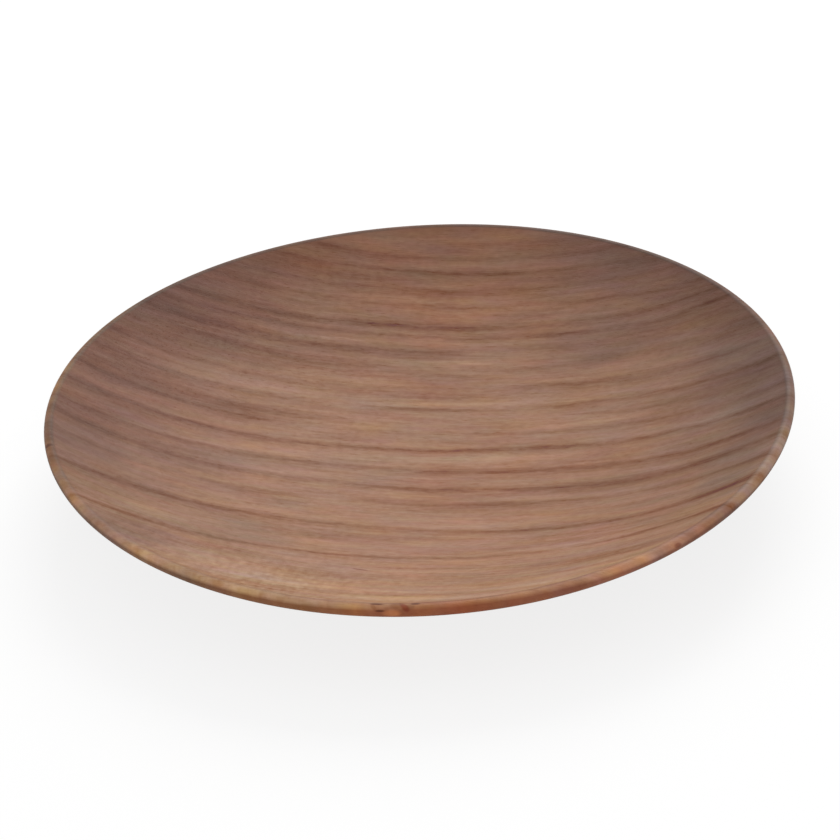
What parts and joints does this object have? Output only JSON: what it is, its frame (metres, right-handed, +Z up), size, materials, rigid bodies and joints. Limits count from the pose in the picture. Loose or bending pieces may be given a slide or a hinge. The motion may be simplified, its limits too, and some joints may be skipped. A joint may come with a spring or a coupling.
{
  "type": "wooden plate",
  "caption": "Round shallow dish turned from one board of brown hardwood, with a half-round lip, a thin rising wall and a low foot ring underneath.",
  "frame": {"origin": "on the surface that the plate stands on, under the plate's centre", "axes": "+Z up through the well, +X along the grain of the board"},
  "size_m": [0.25, 0.25, 0.0346],
  "materials": {
    "oiled_wood": "satin, oiled"
  },
  "bodies": {
    "root": {"plate": "oiled_wood"}
  },
  "joints": []
}
